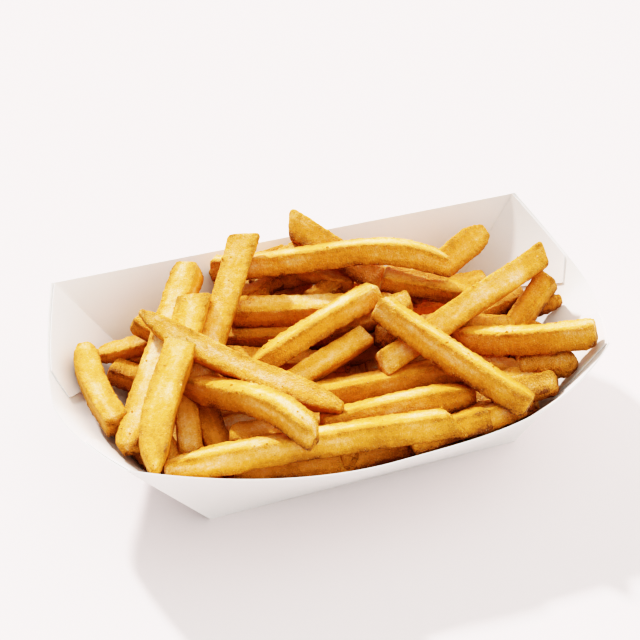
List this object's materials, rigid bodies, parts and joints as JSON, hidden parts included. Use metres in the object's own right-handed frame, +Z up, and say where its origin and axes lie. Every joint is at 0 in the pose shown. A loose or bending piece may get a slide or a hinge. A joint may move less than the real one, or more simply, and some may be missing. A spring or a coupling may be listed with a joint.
{
  "type": "french fries in a paper tray",
  "caption": "Folded white paperboard tray with a flat base and bowed, flaring walls, heaped with straight-cut french fries that rise above its rim.",
  "frame": {"origin": "centre of the tray's flat base, on the surface that it stands on", "axes": "+X along the tray's long walls, -Y towards its front wall, +Z up"},
  "size_m": [0.1868, 0.115, 0.0528],
  "materials": {
    "board": "plain white paperboard, matte",
    "potato": "fried potato with a thin, fine-grained crust and a slight oily sheen"
  },
  "bodies": {
    "root": {"tray": "board", "fries": "potato"}
  },
  "joints": []
}
